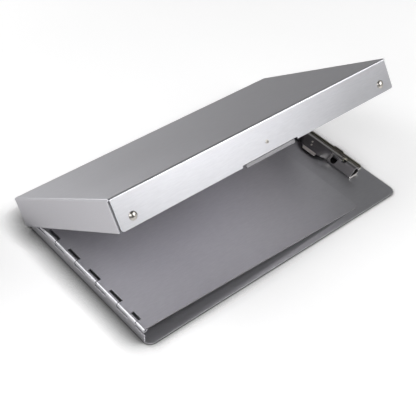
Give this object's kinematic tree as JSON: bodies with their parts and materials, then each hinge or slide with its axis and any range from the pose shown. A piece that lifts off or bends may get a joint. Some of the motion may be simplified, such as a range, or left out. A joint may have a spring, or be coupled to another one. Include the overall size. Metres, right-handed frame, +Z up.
{
  "type": "storage clipboard box",
  "caption": "Aluminium storage clipboard box with a hinged writing plate over a flat board, a sprung paper clip and a deep hinged snap lid.",
  "frame": {"origin": "centre of the board's flat underside", "axes": "+X along the board towards the paper clip, +Y towards the lid hinge, +Z up out of the board's upper face"},
  "size_m": [0.2673, 0.1665, 0.1102],
  "materials": {
    "board_sheet": "fine brushed, satin",
    "plate_sheet": "fine brushed, satin",
    "lid_sheet": "fine brushed, satin",
    "hinge_wire": "drawn wire",
    "rivet_metal": "polished nickel plating",
    "latch_steel": "bright spring steel",
    "clip_dark": "dark oxide plating, satin",
    "clip_base_dark": "dark oxide plating, satin",
    "spring_steel": "oiled spring wire"
  },
  "bodies": {
    "base": {"board": "board_sheet", "plate_hinge_pin": "hinge_wire", "lid_hinge_pin": "hinge_wire", "clip_base": "clip_base_dark", "clip_base_rivets": "clip_base_dark", "clip_rod": "hinge_wire", "clip_spring_front": "spring_steel", "clip_spring_back": "spring_steel"},
    "plate": {"writing_plate": "plate_sheet"},
    "cover": {"lid": "lid_sheet", "lid_corner_rivets": "rivet_metal", "latch_rivet": "rivet_metal"},
    "latch": {"latch_spring": "latch_steel"},
    "jaw": {"clip_jaw": "clip_dark", "clip_lever": "clip_dark", "clip_lever_rivets": "rivet_metal"}
  },
  "joints": [
    {"name": "lid_hinge", "type": "hinge", "parent": "base", "child": "cover", "pos_m": [0, 0.07495, 0.00205], "axis": [-1, 0, 0], "range_deg": [-36.1, 143.9]},
    {"name": "plate_hinge", "type": "hinge", "parent": "base", "child": "plate", "pos_m": [-0.12945, 0, 0.01055], "axis": [0, -1, 0], "range_deg": [0, 5]},
    {"name": "clip_open", "type": "hinge", "parent": "base", "child": "jaw", "pos_m": [0.1186, 0, 0.00495], "axis": [0, 1, 0], "range_deg": [0, 45], "stiffness_Nm_per_rad": 0.25, "springref_deg": -34.38},
    {"name": "latch_flex", "type": "hinge", "parent": "cover", "child": "latch", "pos_m": [0, -0.04327, 0.09748], "axis": [-1, 0, 0], "range_deg": [0, 8], "stiffness_Nm_per_rad": 0.6, "springref_deg": -2.86}
  ]
}
